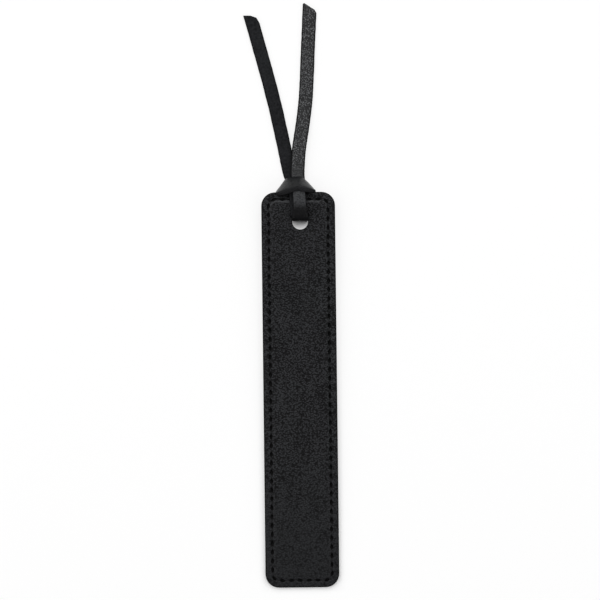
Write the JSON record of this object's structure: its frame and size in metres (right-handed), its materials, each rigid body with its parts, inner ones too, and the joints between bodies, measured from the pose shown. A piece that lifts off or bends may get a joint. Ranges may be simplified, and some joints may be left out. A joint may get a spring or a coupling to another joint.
{
  "type": "leather bookmark",
  "caption": "Slim sewn leather bookmark with rounded corners, a punched hole and a flat leather lace tied through it, whose two tails mark the page.",
  "frame": {"origin": "centre of the raised flat field on the back cover", "axes": "+X across the strap to the right as seen from the front, +Y along the strap towards the lace, +Z out of the front face"},
  "size_m": [0.0339, 0.2217, 0.01],
  "materials": {
    "cover_leather": "fine pebble grain, black, matt",
    "lace_leather": "pebble grain outside, smooth flesh side, black",
    "thread": "twisted black sewing thread",
    "board": "grey board, hidden"
  },
  "bodies": {
    "strap": {"front_cover": "cover_leather", "back_cover": "cover_leather", "inner_stiffener": "board", "needle_thread": "thread", "bobbin_thread": "thread"},
    "lace": {"hitch_band": "lace_leather", "left_strand": "lace_leather", "right_strand": "lace_leather", "left_tail": "lace_leather", "right_tail": "lace_leather"}
  },
  "joints": [
    {"name": "lace_swing", "type": "hinge", "parent": "strap", "child": "lace", "pos_m": [0.0007, 0.0638, 0.001], "axis": [0, 0, 1], "range_deg": [-4, 4]}
  ]
}
